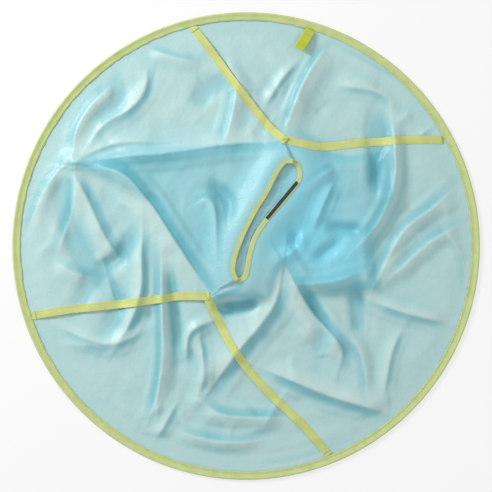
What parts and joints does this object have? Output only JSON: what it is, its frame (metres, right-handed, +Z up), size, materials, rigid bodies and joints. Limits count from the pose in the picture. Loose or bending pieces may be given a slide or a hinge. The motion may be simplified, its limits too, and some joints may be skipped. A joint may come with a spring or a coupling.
{
  "type": "pop-up cape",
  "caption": "Round pop-up cape: a sprung wire hoop holds a light taffeta sheet with a bound neck slot, lapped arm openings and a packing loop.",
  "frame": {"origin": "centre of the hoop on the floor, at the middle of the underside", "axes": "+Z up, out of the neck; +X along the neck slot towards the end with the hook strip; +Y towards the back panel"},
  "size_m": [0.85, 0.85, 0.0471],
  "materials": {
    "taffeta": "pale aqua polyester taffeta with a soft sheen",
    "binding_tape": "pale lime folded binding tape",
    "rim_tape": "pale lime folded binding tape over the wire",
    "green_thread": "spun polyester sewing thread",
    "dark_thread": "spun polyester sewing thread",
    "hook_tape": "near-black woven hook tape",
    "loop_tape": "near-black napped loop tape",
    "loop_webbing": "yellow-green folded webbing",
    "spring_steel": "drawn and tempered wire",
    "crimped_steel": "plated tube, crimped",
    "shrunk_sleeve": "shrunk polyolefin sleeve"
  },
  "bodies": {
    "hoop": {"arm_end_tacks": "green_thread", "back_panel": "taffeta", "front_panel": "taffeta", "hoop_ferrule": "crimped_steel", "hoop_sleeve": "shrunk_sleeve", "hoop_wire": "spring_steel", "left_arm_binding_back": "binding_tape", "left_arm_binding_front": "binding_tape", "left_arm_stitching_back": "green_thread", "left_arm_stitching_front": "green_thread", "left_shoulder_seam": "taffeta", "left_side_panel": "taffeta", "left_tip_tack": "green_thread", "packing_loop_anchor": "loop_webbing", "right_arm_binding_back": "binding_tape", "right_arm_binding_front": "binding_tape", "right_arm_stitching_back": "green_thread", "right_arm_stitching_front": "green_thread", "right_shoulder_seam": "taffeta", "right_side_panel": "taffeta", "right_tip_tack": "green_thread", "rim_binding": "rim_tape", "rim_stitching": "green_thread"},
    "neck": {"neck_binding": "binding_tape", "neck_stitching": "green_thread", "hook_strip": "hook_tape", "hook_strip_stitching": "dark_thread"},
    "neck_lip": {"lip_binding": "binding_tape", "lip_stitching": "green_thread", "loop_strip": "loop_tape", "loop_strip_stitching": "green_thread"},
    "loop": {"packing_loop": "loop_webbing", "packing_loop_tack": "green_thread"}
  },
  "joints": [
    {"name": "neck_lift", "type": "slide", "parent": "hoop", "child": "neck", "axis": [0, 0, 1], "range_m": [0, 0.15], "deforming": ["front_panel", "back_panel", "left_side_panel", "right_side_panel", "left_shoulder_seam", "right_shoulder_seam", "left_tip_tack", "right_tip_tack", "arm_end_tacks", "left_arm_binding_front", "left_arm_binding_back", "left_arm_stitching_front", "left_arm_stitching_back", "right_arm_binding_front", "right_arm_binding_back", "right_arm_stitching_front", "right_arm_stitching_back"]},
    {"name": "neck_close", "type": "hinge", "parent": "neck", "child": "neck_lip", "pos_m": [-0.062, -0.009, 0.045], "axis": [0, 0, 1], "range_deg": [-11.5, 0]},
    {"name": "loop_swing", "type": "hinge", "parent": "hoop", "child": "loop", "pos_m": [0.405, 0.06, 0.0043], "axis": [0.0976, 0.9952, 0], "range_deg": [0, 150]}
  ]
}
